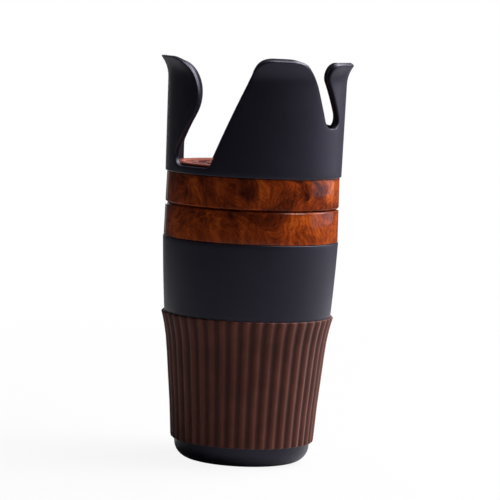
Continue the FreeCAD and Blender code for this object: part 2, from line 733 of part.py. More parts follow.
def make_crown():
    """One moulded crown with four petals, its floor and the bosses under the floor."""
    blank = make_crown_blank()
    pivot = V(pivot_offset, 0, 0)
    boss_top = floor_low_z + JOIN_SINK
    low = swing_top_z - CUT_MARGIN
    screws = [at_angle(screw_circle, angle) for angle in SCREW_ANGLES]
    for centre in screws:
        blank = blank.fuse(disc(boss_radius, swing_top_z, boss_top, centre))
    blank = blank.fuse(disc(pivot_boss_radius, swing_top_z, boss_top, pivot))
    blank = blank.cut(disc(INSERT_RADIUS, low, swing_top_z + INSERT_HEIGHT, pivot))
    for centre in screws:
        blank = blank.cut(disc(SCREW_SHANK_RADIUS, low, pilot_end(swing_low_z, -1), centre))
    pieces = SplitAPI.slice(single(blank), [petal_ribbon()], "Split", 0.0)
    return min(pieces.Solids, key=lambda s: s.CenterOfMass.z)


def build():
    """Every piece by node name."""
    seam_radius = STACK_RADIUS - RING_SEAM_INSET
    lower_mat_radius = sleeve_bore_points()[0][0] - CUP_WALL - HEEL_STEP - MAT_CLEARANCE
    crown_mat_radius = crown_foot_radius - CROWN_WALL - MAT_CLEARANCE
    pieces = {
        "lower_cup": make_lower_cup(),
        "grip_sleeve": make_grip_sleeve(),
        "lower_mat": make_mat(
            lower_mat_radius, BASE_Z + CUP_FLOOR, LOWER_MAT_HEIGHT, LOWER_MAT_RIDGE_COUNT
        ),
        "lower_trim_ring": make_ring(
            lower_ring_z, seam_low_z, STACK_RADIUS - RING_BODY_INSET, seam_radius,
            RING_EDGE_ROUND, RING_BEVEL, True
        ),
        "lower_rim": make_lower_rim(),
        "swing_base": make_swing_base(),
        "upper_trim_ring": make_ring(
            seam_high_z, upper_ring_top_z, seam_radius, STACK_RADIUS - RING_CROWN_INSET,
            RING_BEVEL, RING_EDGE_ROUND, False
        ),
        "crown": make_crown(),
        "crown_mat": make_mat(crown_mat_radius, floor_top_z, MAT_HEIGHT, MAT_RIDGE_COUNT),
    }
    pieces.update(make_pivot_set())
    for i, angle in enumerate(SCREW_ANGLES):
        centre = at_angle(screw_circle, angle)
        pieces["rim_screw_%d" % (i + 1)] = make_screw(centre, rim_top_z, 1)
        pieces["base_screw_%d" % (i + 1)] = make_screw(centre, swing_low_z, -1)
    return pieces


def main():
    for name, shape in build().items():
        if not shape.isValid():
            raise ValueError(name + " isn't valid")
        shape.exportStep("parts/" + name + ".step")
        print(name, round(shape.Volume, 1))


main()
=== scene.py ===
import logging
import math
from dataclasses import dataclass
from enum import Enum

import bmesh
import bpy
from mathutils import Matrix, Vector
from mathutils.geometry import delaunay_2d_cdt


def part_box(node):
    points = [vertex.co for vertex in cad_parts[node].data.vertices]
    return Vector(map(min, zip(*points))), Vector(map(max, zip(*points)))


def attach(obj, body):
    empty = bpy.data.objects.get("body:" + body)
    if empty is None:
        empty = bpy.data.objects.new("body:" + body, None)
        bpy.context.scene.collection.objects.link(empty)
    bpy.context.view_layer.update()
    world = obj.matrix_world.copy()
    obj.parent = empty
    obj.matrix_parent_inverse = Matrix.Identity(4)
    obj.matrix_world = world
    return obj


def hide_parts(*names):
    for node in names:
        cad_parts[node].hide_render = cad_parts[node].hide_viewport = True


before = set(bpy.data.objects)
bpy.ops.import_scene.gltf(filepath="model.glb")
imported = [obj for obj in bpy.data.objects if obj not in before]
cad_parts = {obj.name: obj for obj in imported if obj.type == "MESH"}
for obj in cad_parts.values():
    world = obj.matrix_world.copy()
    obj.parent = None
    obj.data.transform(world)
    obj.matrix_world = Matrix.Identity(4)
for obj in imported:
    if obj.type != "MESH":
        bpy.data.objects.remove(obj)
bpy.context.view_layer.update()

log = logging.getLogger("cup_holder")

MM = 0.001
FULL_TURN = 2 * math.pi
SHARP_ANGLE = math.radians(38)
BEVEL_ANGLE = math.radians(25)
BEVEL_SEGMENTS = 3
LATHE_STEPS = 256
BOSS_FACETS = 40
WELD = 1e-4
FILL_INSIDE = 1
FILL_CLOSENESS = 1e-6
# Millimetres under a mat's top where its painted valley shade ends and its lighter painted ridge
# tops start.
RIDGE_BAND = (0.9, 0.3)
ORIGIN = (0, 0, 0)
AXIS = {"cent": ORIGIN, "axis": (0, 0, 1), "angle": FULL_TURN, "use_merge": True}
WHITE = (1.0, 1.0, 1.0)

Pair = tuple[float, float]
Profile = list[Pair]
Points = tuple[Pair, ...]
Spot = tuple[float, float, float]
Colour = tuple[float, float, float]
Shades = tuple[tuple[float, Colour], ...]
Socket = bpy.types.NodeSocket
Material = bpy.types.Material
Piece = bpy.types.Object
Mesh = bmesh.types.BMesh
Vert = bmesh.types.BMVert
Edge = bmesh.types.BMEdge


class Slot(Enum):
    """Material slots of the record, one for each finish."""

    SOFT_TOUCH = "soft_touch_black"
    SILICONE = "brown_silicone"
    BURL = "burl_gloss"
    INNER = "inner_black"
    STEEL = "screw_steel"
    ACETAL = "bearing_plastic"
    BRASS = "insert_brass"


class Body(Enum):
    """The two rigid bodies of the holder."""

    LOWER = "lower"
    UPPER = "upper"


class NodeTree:
    """Short calls to add and wire the nodes of one tree."""

    def __init__(self, tree: bpy.types.NodeTree) -> None:
        """Empties a tree to start from."""
        self.nodes, self.links = tree.nodes, tree.links
        self.nodes.clear()

    def add(
        self, kind: str, *firsts: Socket | float | tuple, operation: str = "", **named: object
    ) -> bpy.types.Node:
        """Adds a node, and wires or sets its inputs.

        Args:
            kind: The node's type, without its first word.
            firsts: Sockets or plain values for the first inputs, in order.
            operation: What a maths node does.
            named: Sockets or plain values by the input's name, with _ for a space.

        Returns:
            The node.
        """
        node = self.nodes.new("ShaderNode" + kind)
        if operation:
            node.operation = operation
        given = [*enumerate(firsts), *((k.replace("_", " "), v) for k, v in named.items())]
        for place, value in given:
            socket = node.inputs[place]
            if isinstance(value, bpy.types.NodeSocket):
                self.links.new(value, socket)
            else:
                socket.default_value = value
        return node

    def maths(self, operation: str, *values: Socket | float) -> Socket:
        """The result of a maths node on one or two values."""
        return self.add("Math", *values, operation=operation).outputs["Value"]

    def vector(self, operation: str, *values: Socket | Spot) -> bpy.types.bpy_prop_collection:
        """The outputs of a vector maths node."""
        return self.add("VectorMath", *values, operation=operation).outputs

    def span(self, value: Socket, **limits: float) -> Socket:
        """A value moved from one range into another, 0 to 1 where no limit is given."""
        return self.add("MapRange", value, **limits).outputs["Result"]


@dataclass(frozen=True)
class Grain:
    """Fine relief: cells to the metre, octaves, share that shows and height in metres."""

    scale: float
    detail: float
    strength: float
    height: float
    roughness: float = 0.5
    stretch: float = 1.0


class Finish(NodeTree):
    """The nodes of one material: a Principled shader and textures on Object coordinates."""

    def __init__(self, name: str) -> None:
        """Starts a material of that name."""
        self.material = bpy.data.materials.new(name)
        self.material.use_nodes = True
        super().__init__(self.material.node_tree)
        self.shader = self.add("BsdfPrincipled")
        self.add("OutputMaterial", self.shader.outputs["BSDF"])
        self.coordinates = self.add("TexCoord").outputs["Object"]

    def place(self, scale: Spot, turn: Spot = ORIGIN, shift: Spot = ORIGIN) -> Socket:
        """Object coordinates, scaled, turned in radians and moved in metres."""
        node = self.add("Mapping", self.coordinates, Location=shift, Rotation=turn, Scale=scale)
        return node.outputs["Vector"]

    def noise(
        self,
        scale: float,
        detail: float = 4.0,
        roughness: float = 0.5,
        distortion: float = 0.0,
        vector: Socket | None = None,
    ) -> Socket:
        """Noise texture.

        Args:
            scale: Cells to the metre.
            detail: Octaves.
            roughness: Strength of the finer octaves.
            distortion: How far the cells are pulled about.
            vector: Coordinates to use in place of the object's own.

        Returns:
            The noise's socket.
        """
        node = self.add(
            "TexNoise", vector or self.coordinates, Scale=scale, Detail=detail,
            Roughness=roughness, Distortion=distortion,
        )
        return node.outputs["Fac"]

    def ramp(self, value: Socket, shades: Shades) -> Socket:
        """Colour ramp over a value.

        Args:
            value: The socket that drives the ramp.
            shades: Positions from 0 to 1 with their linear colours.

        Returns:
            The colour's socket.
        """
        node = self.add("ValToRGB", value)
        elements = node.color_ramp.elements
        while len(elements) < len(shades):
            elements.new(0.5)
        for element, (position, colour) in zip(elements, shades):
            element.position = position
            element.color = (*colour, 1)
        return node.outputs["Color"]

    def shade(
        self, colour: Socket, share: float, value: Socket, *shades: tuple[float, Colour]
    ) -> Socket:
        """Multiplies a colour by a ramp over a value.

        Args:
            colour: The colour's socket.
            share: How much of the ramp shows.
            value: The socket that drives the ramp.
            shades: Positions from 0 to 1 with their linear colours.

        Returns:
            The darker or tinted colour's socket.
        """
        node = self.add("Mix")
        node.data_type, node.blend_type = "RGBA", "MULTIPLY"
        inputs = {(s.name, s.type): s for s in node.inputs}
        inputs["Factor", "VALUE"].default_value = share
        self.links.new(colour, inputs["A", "RGBA"])
        self.links.new(self.ramp(value, shades), inputs["B", "RGBA"])
        return next(s for s in node.outputs if s.type == "RGBA")

    def bump(self, height: Socket, strength: float, distance: float) -> Socket:
        """Normal of a relief, from its height, the share that shows and its step in metres."""
        node = self.add("Bump", Strength=strength, Distance=distance, Height=height)
        return node.outputs["Normal"]

    def emboss(self, grain: Grain) -> Socket:
        """Gives the shader's normal a grain.

        Args:
            grain: The relief.

        Returns:
            The socket of its height, 0 to 1.
        """
        vector = None if grain.stretch == 1 else self.place(scale=(1, 1, grain.stretch))
        height = self.noise(grain.scale, grain.detail, grain.roughness, vector=vector)
        self.feed("Normal", self.bump(height, grain.strength, grain.height))
        return height

    def around(self, count: int) -> Socket:
        """A wave about the upright axis, 1 on the +X side and at each further crest.

        Args:
            count: Crests in a full turn.

        Returns:
            The wave's socket, 0 to 1.
        """
        parts = self.add("SeparateXYZ", self.coordinates).outputs
        crests = self.maths("MULTIPLY", self.maths("ARCTAN2", parts["Y"], parts["X"]), count)
        return self.span(self.maths("COSINE", crests), From_Min=-1.0)

    def level(self, low: float, high: float) -> Socket:
        """Height over the base, from 0 at one level to 1 at another, in metres."""
        height = self.add("SeparateXYZ", self.coordinates).outputs["Z"]
        return self.span(height, From_Min=low, From_Max=high)

    def reach(self, radius: float) -> Socket:
        """Distance from the upright axis, as a share of a radius in metres."""
        flat = self.vector("MULTIPLY", self.coordinates, (1 / radius, 1 / radius, 0))["Vector"]
        return self.vector("LENGTH", flat)["Value"]

    def gloss(self, value: Socket, limits: Pair) -> None:
        """Gives the shader a roughness that follows a value between two limits."""
        self.feed("Roughness", self.span(value, To_Min=limits[0], To_Max=limits[1]))

    def feed(self, name: str, value: Socket) -> None:
        """Wires a socket to the shader's input of that name."""
        self.links.new(value, self.shader.inputs[name])

    def fix(self, **values: float | tuple[float, ...]) -> None:
        """Sets plain values on the shader's own sockets, with _ for a space."""
        for name, value in values.items():
            self.shader.inputs[name.replace("_", " ")].default_value = value


@dataclass(frozen=True)
class SoftTouchBlack:
    """Satin bluish-black soft-touch coat on the moulded cups."""

    dark: Colour = (0.0044, 0.0042, 0.0082)
    light: Colour = (0.0070, 0.0068, 0.0122)
    roughness: Pair = (0.38, 0.44)
    grain: Grain = Grain(5200, 2, 0.12, 0.00006)

    def build(self) -> Material:
        """Builds the material.

        Returns:
            The material.
        """
        tree = Finish("soft_touch_black")
        cloud = tree.noise(scale=45, detail=3)
        tree.feed("Base Color", tree.ramp(cloud, ((0.3, self.dark), (0.7, self.light))))
        tree.emboss(self.grain)
        tree.gloss(tree.noise(scale=130, roughness=0.6), self.roughness)
        tree.fix(Sheen_Weight=0.06, Sheen_Roughness=0.4, Sheen_Tint=(0.76, 0.72, 1.0, 1.0))
        tree.fix(Specular_Tint=(0.80, 0.76, 1.0, 1.0), Specular_IOR_Level=0.36)
        return tree.material


@dataclass(frozen=True)
class BrownSilicone:
    """Matte brown silicone with a faint dusty bloom, plus optional painted shade and highlight."""

    name: str = "brown_silicone"
    deep: Colour = (0.074, 0.020, 0.013)
    bloom: Colour = (0.108, 0.032, 0.021)
    # Painted shade multiplier for the grooves between the sleeve's ribs.
    groove_shade: Colour = (0.42, 0.38, 0.38)
    # Painted shade low on a mat's ridges, and the lighter painted ridge tops.
    valley_shade: Colour = (0.45, 0.36, 0.36)
    lit_ridge_top: Colour = (0.78, 0.76, 0.76)
    # Painted highlight multiplier for a ring on a mat.
    shoulder: Colour = (2.6, 5.0, 5.6)
    roughness: Pair = (0.5, 0.62)
    grain: Grain = Grain(3600, 2, 0.18, 0.00008)
    sheen: float = 0.16
    ribs: int = 0
    crests: Pair | None = None
    radius: float = 0.04

    def build(self) -> Material:
        """Builds the material.

        Returns:
            The material.
        """
        tree = Finish(self.name)
        cloud = tree.noise(scale=60, detail=5, roughness=0.6)
        colour = tree.ramp(cloud, ((0.35, self.deep), (0.7, self.bloom)))
        if self.ribs:
            # Painted shade: darker in the grooves between the sleeve's ribs.
            wave = tree.around(self.ribs)
            colour = tree.shade(colour, 1.0, wave, (0.15, self.groove_shade), (0.75, WHITE))
        if self.crests:
            # Painted shade: darker lower down the ridges, lighter at the ridge tops.
            height = tree.level(*self.crests)
            colour = tree.shade(colour, 1.0, height, (0.2, self.valley_shade), (0.9, self.lit_ridge_top))
            # Painted highlight: a paler ring at 83 to 88 per cent of the mat's radius.
            highlight_ring = ((0.79, WHITE), (0.83, self.shoulder), (0.88, self.shoulder), (0.91, WHITE))
            colour = tree.shade(colour, 1.0, tree.reach(self.radius), *highlight_ring)
        tree.feed("Base Color", colour)
        tree.emboss(self.grain)
        tree.gloss(cloud, self.roughness)
        tree.fix(Sheen_Weight=self.sheen, Sheen_Roughness=0.45, Sheen_Tint=(1.0, 0.72, 0.66, 1.0))
        tree.fix(Specular_IOR_Level=0.14)
        return tree.material


@dataclass(frozen=True)
class BurlWood:
    """High-gloss lacquered burl: swirled grain, dark eyes and flame figure."""

    seed: float = 0.0
    drift: Spot = (1.0, 0.7, -0.4)
    dark: Colour = (0.032, 0.005, 0.0018)
    brown: Colour = (0.160, 0.024, 0.0035)
    amber: Colour = (0.340, 0.056, 0.0060)
    glow: Colour = (0.540, 0.115, 0.0130)
    grain: Colour = (0.5, 0.38, 0.33)
    eye: Colour = (0.12, 0.07, 0.05)
    streak: Colour = (0.55, 0.45, 0.4)
    pore: Colour = (0.35, 0.3, 0.28)
    roughness: Pair = (0.30, 0.42)
    pull: float = 0.05

    def build(self, name: str) -> Material:
        """Builds the material.

        Args:
            name: The material's name.

        Returns:
            The material.
        """
        tree = Finish(name)
        shift = tuple(self.seed * part for part in self.drift)
        base = tree.place(scale=(1, 1, 1.3), turn=(0.35, -0.25, 0.4), shift=shift)
        swirl = tree.add("TexNoise", base, Scale=26, Detail=2, Distortion=1.2).outputs["Color"]
        warp = tree.vector("MULTIPLY_ADD", swirl, (self.pull,) * 3, base)["Vector"]
        figure = tree.noise(scale=48, detail=6, roughness=0.55, distortion=0.8, vector=warp)
        shades = ((0.30, self.dark), (0.41, self.brown), (0.56, self.amber), (0.72, self.glow))
        colour = tree.ramp(figure, shades)
        wave = tree.add("TexWave", warp, Scale=130, Distortion=7, Detail=4, Detail_Scale=1.6)
        wave.wave_type, wave.bands_direction = "BANDS", "DIAGONAL"
        colour = tree.shade(colour, 0.6, wave.outputs["Fac"], (0.1, self.grain), (0.7, WHITE))
        eyes = tree.add("TexVoronoi", warp, Scale=52).outputs["Distance"]
        colour = tree.shade(colour, 0.75, eyes, (0.06, self.eye), (0.22, WHITE))
        drawn = tree.place(scale=(1, 1, 0.07), shift=shift)
        upright = tree.noise(scale=420, detail=3, vector=drawn)
        colour = tree.shade(colour, 0.5, upright, (0.36, self.streak), (0.6, WHITE))
        pores = tree.noise(scale=900, detail=2, vector=warp)
        colour = tree.shade(colour, 0.6, pores, (0.34, self.pore), (0.46, WHITE))
        tree.feed("Base Color", colour)
        tree.gloss(figure, self.roughness)
        tree.feed("Coat Normal", tree.bump(tree.noise(scale=95, detail=2), 0.12, 0.0003))
        tree.fix(Coat_Weight=0.34, Coat_Roughness=0.09, Coat_IOR=1.5, Specular_IOR_Level=0.03)
        return tree.material


@dataclass(frozen=True)
class InnerFinish:
    """A clouded and grained finish of the plates and the small hardware.

    The gloss follows the grain, or the clouds where the surface is only stained.
    """

    slot: Slot
    shades: Shades
    cloud: Pair
    grain: Grain
    roughness: Pair
    metallic: float = 0.0
    stained: bool = False

    def build(self) -> Material:
        """Builds the material.

        Returns:
            The material.
        """
        tree = Finish(self.slot.value)
        scale, detail = self.cloud
        cloud = tree.noise(scale=scale, detail=detail)
        tree.feed("Base Color", tree.ramp(cloud, self.shades))
        grain = tree.emboss(self.grain)
        tree.gloss(cloud if self.stained else grain, self.roughness)
        tree.fix(Metallic=self.metallic)
        return tree.material


MOULDED_BLACK = InnerFinish(
    Slot.INNER, ((0.35, (0.010, 0.010, 0.011)), (0.7, (0.018, 0.018, 0.019))), cloud=(80, 4),
    grain=Grain(1900, 3, 0.3, 0.00012, roughness=0.6), roughness=(0.42, 0.6),
)
ZINC_STEEL = InnerFinish(
    Slot.STEEL, ((0.3, (0.30, 0.30, 0.31)), (0.7, (0.42, 0.43, 0.45))), cloud=(420, 4),
    grain=Grain(1400, 2, 0.15, 0.00005, stretch=6), roughness=(0.22, 0.4), metallic=1.0,
)
NATURAL_ACETAL = InnerFinish(
    Slot.ACETAL, ((0.35, (0.55, 0.52, 0.45)), (0.6, (0.66, 0.64, 0.58))), cloud=(300, 4),
    grain=Grain(2500, 2, 0.1, 0.00005), roughness=(0.3, 0.42), stained=True,
)
TURNED_BRASS = InnerFinish(
    Slot.BRASS, ((0.3, (0.42, 0.27, 0.10)), (0.7, (0.62, 0.41, 0.14))), cloud=(500, 3),
    grain=Grain(1500, 2, 0.15, 0.00005, stretch=8), roughness=(0.25, 0.42), metallic=1.0,
)


class Finishes:
    """All the holder's materials, built once."""

    def __init__(self) -> None:
        """Builds every material."""
        self.soft_touch = SoftTouchBlack().build()
        # The sleeve's silicone gets painted shade in the grooves between its ribs.
        self.silicone = BrownSilicone(ribs=GripSleeve.ribs).build()
        self.mats = {node: self.build_mat(node) for node in ("lower_mat", "crown_mat")}
        self.lower_burl = BurlWood().build("burl_lower")
        self.upper_burl = BurlWood(
            seed=0.61, brown=(0.130, 0.020, 0.0035), amber=(0.290, 0.046, 0.0060)
        ).build("burl_upper")
        inner = (MOULDED_BLACK, ZINC_STEEL, NATURAL_ACETAL, TURNED_BRASS)
        self.inner = {finish.slot: finish.build() for finish in inner}

    def build_mat(self, node: str) -> Material:
        """Builds the silicone of one mat, with painted shade low on its ridges, lighter painted
        ridge tops and a painted highlight ring.

        Args:
            node: The mat's CAD node.

        Returns:
            The material.
        """
        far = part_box(node)[1]
        low, high = (far.z - depth * MM for depth in RIDGE_BAND)
        return BrownSilicone(
            name=node + "_silicone", deep=(0.125, 0.018, 0.011), bloom=(0.180, 0.031, 0.018),
            sheen=0.02, crests=(low, high), radius=far.x,
        ).build()


def quarter(stretches: int) -> Profile:
    """Sines and cosines over a quarter turn, without its start.

    Args:
        stretches: Steps in the quarter turn.

    Returns:
        A (sine, cosine) pair for each step.
    """
    turns = [math.radians(90 * k / stretches) for k in range(1, stretches + 1)]
    return [(math.sin(turn), math.cos(turn)) for turn in turns]


def lathe(profile: Profile, rounds: float, steps: int = LATHE_STEPS) -> Mesh:
    """Turns a closed outline about the upright axis and rounds its sharp corners.

    Args:
        profile: (radius, height) corners in millimetres, in order round the section.
        rounds: Width of the round on each sharp edge, in millimetres.
        steps: Facets in a full turn.

    Returns:
        The turned solid, in millimetres.
    """
    bm = bmesh.new()
    verts = [bm.verts.new((r, 0, z)) for r, z in profile]
    edges = [bm.edges.new(pair) for pair in zip(verts, verts[1:] + verts[:1])]
    bmesh.ops.spin(bm, geom=verts + edges, steps=steps, **AXIS)
    bmesh.ops.remove_doubles(bm, verts=bm.verts, dist=WELD)
    bmesh.ops.dissolve_degenerate(bm, dist=WELD, edges=bm.edges)
    bmesh.ops.recalc_face_normals(bm, faces=bm.faces)
    sharp = [
        e for e in bm.edges if len(e.link_faces) == 2 and e.calc_face_angle(0) > BEVEL_ANGLE
    ]
    bmesh.ops.bevel(
        bm, geom=sharp, offset=rounds, affect="EDGES", segments=BEVEL_SEGMENTS, profile=0.5,
        material=-1, clamp_overlap=True,
    )
    return bm


def extrude_ring(bm: Mesh, edges: list[Edge]) -> tuple[list[Vert], list[Edge]]:
    """Extrudes a closed edge loop once.

    Args:
        bm: The mesh.
        edges: The loop's edges.

    Returns:
        The new loop's vertices and its edges.
    """
    out = bmesh.ops.extrude_edge_only(bm, edges=edges)["geom"]
    verts = [g for g in out if isinstance(g, Vert)]
    fresh = set(verts)
    return verts, [g for g in out if isinstance(g, Edge) and fresh.issuperset(g.verts)]


@dataclass(frozen=True)
class Bosses:
    """Round screw bosses that stand in a circle about the upright axis."""

    circle: float = 34.6
    radius: float = 3.75
    angles: tuple[float, ...] = (60, 180, 300)

    def add(self, bm: Mesh, middle: float, depth: float) -> None:
        """Adds the bosses.

        Args:
            bm: The mesh.
            middle: Level of their middle, in millimetres.
            depth: Their height.
        """
        for turn in map(math.radians, self.angles):
            centre = (self.circle * math.cos(turn), self.circle * math.sin(turn), middle)
            bmesh.ops.create_cone(
                bm, cap_ends=True, segments=BOSS_FACETS, radius1=self.radius,
                radius2=self.radius, depth=depth, matrix=Matrix.Translation(centre),
            )


def present(
    bm: Mesh, name: str, body: Body, slot: Slot, material: Material, *nodes: str
) -> Piece:
    """Turns a bmesh in millimetres into a shown piece that stands for CAD nodes.

    Args:
        bm: The mesh, which is freed.
        name: The piece's name.
        body: The rigid body it moves with.
        slot: The record's material slot; not used.
        material: Its finish.
        nodes: The CAD nodes that it replaces.

    Returns:
        The new object.
    """
    bmesh.ops.scale(bm, vec=(MM, MM, MM), verts=bm.verts)
    mesh = bpy.data.meshes.new(name)
    bm.to_mesh(mesh)
    bm.free()
    mesh.materials.append(material)
    mesh.shade_smooth()
    mesh.set_sharp_from_angle(angle=SHARP_ANGLE)
    piece = bpy.data.objects.new(name, mesh)
    bpy.context.scene.collection.objects.link(piece)
    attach(piece, body.value)
    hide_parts(*nodes)
    return piece


@dataclass
class LowerCup:
    """The moulded lower cup: rounded base, tapered wall, bulged body and neck."""

    base_radius: float = 32.95
    corner: float = 8.0
    corner_stretches: int = 9
    wall: float = 2.4
    floor: float = 2.6
    heel_step: float = 2.4
    shoulder_depth: float = 4.0
    sleeve_top: float = 71.7
    grip: Points = (
        (33.2, 9.9), (34.3, 26.7), (35.45, 38.7), (36.55, 50.7), (37.5, 59.2), (38.5, 64.7),
    )
    waist_radius: float = 40.5
    middle_radius: float = 41.75
    top_radius: float = 42.65
    bulge_stretches: int = 14
    top_z: float = 108.3
    neck_radius: float = 40.6
    neck_top: float = 120.7
    rounds: float = 0.35
    bosses: Bosses = Bosses()
    boss_drop: float = 0.02
    boss_clearance: float = 0.45

    def bulge(self) -> Profile:
        """The bulged wall over the sleeve, as an arc through three points.

        Returns:
            (radius, height) points from the sleeve's lip to the shoulder.
        """
        points = []
        for i in range(self.bulge_stretches + 1):
            t = i / self.bulge_stretches
            z = self.sleeve_top + t * (self.top_z - self.sleeve_top)
            straight = self.waist_radius + t * (self.top_radius - self.waist_radius)
            middle = (self.waist_radius + self.top_radius) / 2
            points.append((straight + 4 * t * (1 - t) * (self.middle_radius - middle), z))
        return points

    def build(self, finish: Material) -> Piece:
        """Builds the cup.

        Args:
            finish: The soft-touch material.

        Returns:
            The piece.
        """
        profile: Profile = [(0, 0), (self.base_radius - self.corner, 0)]
        profile += [
            (self.base_radius - self.corner * (1 - sine), self.corner * (1 - cosine))
            for sine, cosine in quarter(self.corner_stretches)
        ]
        profile += [*self.grip, *self.bulge()]
        profile += [(self.neck_radius, self.top_z), (self.neck_radius, self.neck_top)]
        bore = self.neck_radius - self.wall
        profile += [(bore, self.neck_top), (bore, self.top_z)]
        profile.append((self.top_radius - self.wall, self.top_z - self.shoulder_depth))
        profile.append((self.waist_radius - self.wall, self.sleeve_top))
        profile += [(r - self.wall, z) for r, z in reversed(self.grip)]
        profile += [(self.grip[0][0] - self.wall - self.heel_step, self.floor), (0, self.floor)]
        bm = lathe(profile, self.rounds)
        depth = self.neck_top - self.top_z - self.boss_clearance
        self.bosses.add(bm, self.neck_top - depth / 2 - self.boss_drop, depth)
        return present(bm, "dressed_lower_cup", Body.LOWER, Slot.SOFT_TOUCH, finish, "lower_cup")


@dataclass
class GripSleeve:
    """Ribbed silicone sleeve with a flared lip and a scalloped foot."""

    bottom: float = 9.9
    crest: Points = (
        (34.35, 0.0), (34.8, 0.3), (35.0, 0.9), (36.1, 16.8), (37.25, 28.8), (38.35, 40.8),
        (39.3, 49.3), (40.3, 54.8), (41.1, 58.2), (41.85, 60.9), (41.8, 61.4), (41.5, 61.7),
    )
    bore: Points = (
        (40.62, 61.75), (40.4, 61.3), (38.55, 54.8), (37.55, 49.3), (36.6, 40.8), (35.5, 28.8),
        (34.35, 16.8), (33.25, 0.0),
    )
    ribs: int = 44
    depth: float = 0.85
    facets_to_a_rib: int = 12
    row_height: float = 3.0

    def rows(self) -> Profile:
        """The crest line, with points added along its long stretches.

        Returns:
            (radius, height) points from foot to lip.
        """
        out: Profile = []
        for (r0, z0), (r1, z1) in zip(self.crest, self.crest[1:]):
            count = max(1, round((z1 - z0) / self.row_height))
            out += [(r0 + (r1 - r0) * k / count, z0 + (z1 - z0) * k / count) for k in range(count)]
        return out + [self.crest[-1]]

    def build(self, finish: Material) -> Piece:
        """Builds the sleeve.

        Args:
            finish: The silicone material.

        Returns:
            The piece.
        """
        bm = bmesh.new()
        segments = self.ribs * self.facets_to_a_rib
        angle_of = bm.verts.layers.float.new("angle")
        verts = bmesh.ops.create_circle(bm, segments=segments, radius=1.0)["verts"]
        for vert in verts:
            vert[angle_of] = math.atan2(vert.co.y, vert.co.x)
        edges = list(bm.edges)
        stations = [(r, z + self.bottom, self.depth) for r, z in self.rows()]
        stations += [(r, z + self.bottom, 0.0) for r, z in self.bore]
        stations.append(stations[0])
        for i, (radius, z, depth) in enumerate(stations):
            if i:
                verts, edges = extrude_ring(bm, edges)
            for vert in verts:
                turn = vert[angle_of]
                reach = radius - depth * (0.5 - 0.5 * math.cos(self.ribs * turn))
                vert.co = (reach * math.cos(turn), reach * math.sin(turn), z)
        bmesh.ops.remove_doubles(bm, verts=bm.verts, dist=WELD)
        bmesh.ops.recalc_face_normals(bm, faces=bm.faces)
        return present(bm, "dressed_grip_sleeve", Body.LOWER, Slot.SILICONE, finish, "grip_sleeve")


@dataclass
class TrimRings:
    """The two burl rings that meet in a bevelled seam."""

    bore: float = 40.7
    seam_radius: float = 42.1
    body_radius: float = 42.3
    crown_radius: float = 41.85
    bevel: float = 0.7
    edge: float = 0.3
    lip_thickness: float = 0.55
    lip_reach: float = 1.3
    rounds: float = 0.12

    def build_lower(self, finish: Material) -> Piece:
        """Builds the ring on the lower cup.

        Args:
            finish: The burl material.

        Returns:
            The piece.
        """
        low, high = (corner.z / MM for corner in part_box("lower_trim_ring"))
        profile: Profile = [
            (self.bore, low), (self.body_radius - self.edge, low),
            (self.body_radius, low + self.edge), (self.seam_radius, high - self.bevel),
            (self.seam_radius - self.bevel, high), (self.bore - self.lip_reach, high),
            (self.bore - self.lip_reach, high - self.lip_thickness),
            (self.bore, high - self.lip_thickness),
        ]
        bm = lathe(profile, self.rounds)
        return present(bm, "dressed_lower_ring", Body.LOWER, Slot.BURL, finish, "lower_trim_ring")

    def build_upper(self, finish: Material) -> Piece:
        """Builds the ring under the crown.

        Args:
            finish: The burl material.

        Returns:
            The piece.
        """
        low, high = (corner.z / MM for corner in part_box("upper_trim_ring"))
        profile: Profile = [
            (self.bore, low), (self.seam_radius - self.bevel, low),
            (self.seam_radius, low + self.bevel), (self.crown_radius, high - self.edge),
            (self.crown_radius - self.edge, high), (self.bore, high),
        ]
        bm = lathe(profile, self.rounds)
        return present(bm, "dressed_upper_ring", Body.UPPER, Slot.BURL, finish, "upper_trim_ring")


@dataclass
class RidgedMat:
    """Round silicone mat with a raised rim and concentric ridges."""

    node: str
    body: Body
    count: int
    rim: float = 5.2
    recess: float = 1.2
    chamfer: float = 0.6
    slope: float = 0.4
    ridge_drop: float = 0.25
    ridge_share: float = 0.47
    centre_share: float = 1.2
    rounds: float = 0.18
    steps: int = 160

    def build(self, finish: Material) -> Piece:
        """Builds the mat.

        Args:
            finish: The silicone material.

        Returns:
            The piece.
        """
        lowest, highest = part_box(self.node)
        low, top, radius = lowest.z / MM, highest.z / MM, highest.x / MM
        floor, crest = top - self.recess, top - self.ridge_drop
        profile: Profile = [
            (0, low), (radius - self.chamfer, low), (radius, low + self.chamfer),
            (radius, top - self.chamfer), (radius - self.chamfer, top), (radius - self.rim, top),
        ]
        edge = radius - self.rim - self.slope
        profile.append((edge, floor))
        pitch = edge / (self.count + self.centre_share)
        ridge = self.ridge_share * pitch
        for i in range(1, self.count + 1):
            outer = edge - i * pitch + ridge
            profile += [(outer, floor), (outer - self.slope, crest)]
            profile += [(outer - ridge + self.slope, crest), (outer - ridge, floor)]
        profile.append((0, floor))
        bm = lathe(profile, self.rounds, steps=self.steps)
        return present(bm, "dressed_" + self.node, self.body, Slot.SILICONE, finish, self.node)


@dataclass(frozen=True)
class Corner:
    """One corner of the petal edge, unrolled: angle, height, and where its round starts."""

    angle: float
    height: float
    round: float


